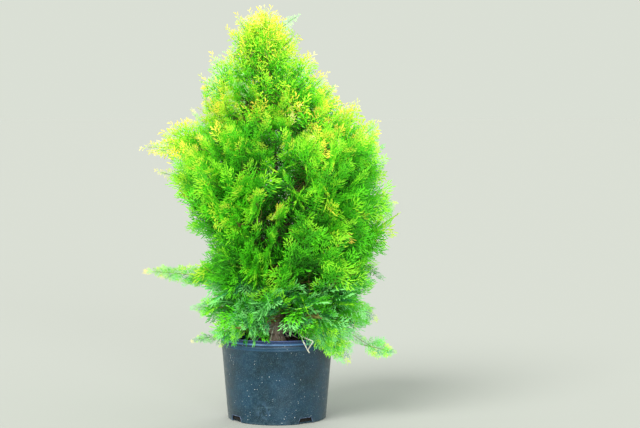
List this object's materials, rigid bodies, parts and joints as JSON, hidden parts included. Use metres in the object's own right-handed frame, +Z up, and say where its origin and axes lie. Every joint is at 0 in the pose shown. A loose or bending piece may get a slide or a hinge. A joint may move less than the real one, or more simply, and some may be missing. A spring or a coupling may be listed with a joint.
{
  "type": "potted thuja",
  "caption": "Young evergreen thuja with a dense crown of flat golden-green sprays, growing in a round black nursery pot.",
  "frame": {"origin": "middle of the pot's flat underside", "axes": "+Z up along the pot's axis, -Y towards the viewer of the picture, +X to the viewer's right"},
  "size_m": [0.67, 0.5984, 1.1114],
  "materials": {
    "pot": "matte blue-black moulded plastic, dusty",
    "soil": "damp granular potting mix",
    "bark": "dull grey-brown stringy bark",
    "skirt_foliage": "matte scale leaves, bluish green",
    "low_foliage": "matte scale leaves, mid green",
    "middle_foliage": "matte scale leaves, lime green",
    "shoulder_foliage": "matte scale leaves, yellow-green",
    "upper_foliage": "matte scale leaves, golden green",
    "leader_foliage": "matte scale leaves, golden yellow"
  },
  "bodies": {
    "root": {"leader_foliage": "leader_foliage", "low_1_bough": "bark", "low_1_foliage": "low_foliage", "low_2_bough": "bark", "low_2_foliage": "low_foliage", "low_3_bough": "bark", "low_3_foliage": "low_foliage", "low_4_bough": "bark", "low_4_foliage": "low_foliage", "low_5_bough": "bark", "low_5_foliage": "low_foliage", "low_6_bough": "bark", "low_6_foliage": "low_foliage", "middle_1_bough": "bark", "middle_1_foliage": "middle_foliage", "middle_2_bough": "bark", "middle_2_foliage": "middle_foliage", "middle_3_bough": "bark", "middle_3_foliage": "middle_foliage", "middle_4_bough": "bark", "middle_4_foliage": "middle_foliage", "middle_5_bough": "bark", "middle_5_foliage": "middle_foliage", "pot": "pot", "shoulder_1_bough": "bark", "shoulder_1_foliage": "shoulder_foliage", "shoulder_2_bough": "bark", "shoulder_2_foliage": "shoulder_foliage", "shoulder_3_bough": "bark", "shoulder_3_foliage": "shoulder_foliage", "shoulder_4_bough": "bark", "shoulder_4_foliage": "shoulder_foliage", "shoulder_5_bough": "bark", "shoulder_5_foliage": "shoulder_foliage", "shoulder_6_bough": "bark", "shoulder_6_foliage": "shoulder_foliage", "skirt_1_bough": "bark", "skirt_1_foliage": "skirt_foliage", "skirt_2_bough": "bark", "skirt_2_foliage": "skirt_foliage", "skirt_3_bough": "bark", "skirt_3_foliage": "skirt_foliage", "skirt_4_bough": "bark", "skirt_4_foliage": "skirt_foliage", "skirt_5_bough": "bark", "skirt_5_foliage": "skirt_foliage", "skirt_6_bough": "bark", "skirt_6_foliage": "skirt_foliage", "soil": "soil", "trunk": "bark", "upper_1_foliage": "upper_foliage", "upper_2_foliage": "upper_foliage", "upper_3_foliage": "upper_foliage", "upper_4_foliage": "upper_foliage"}
  },
  "joints": []
}
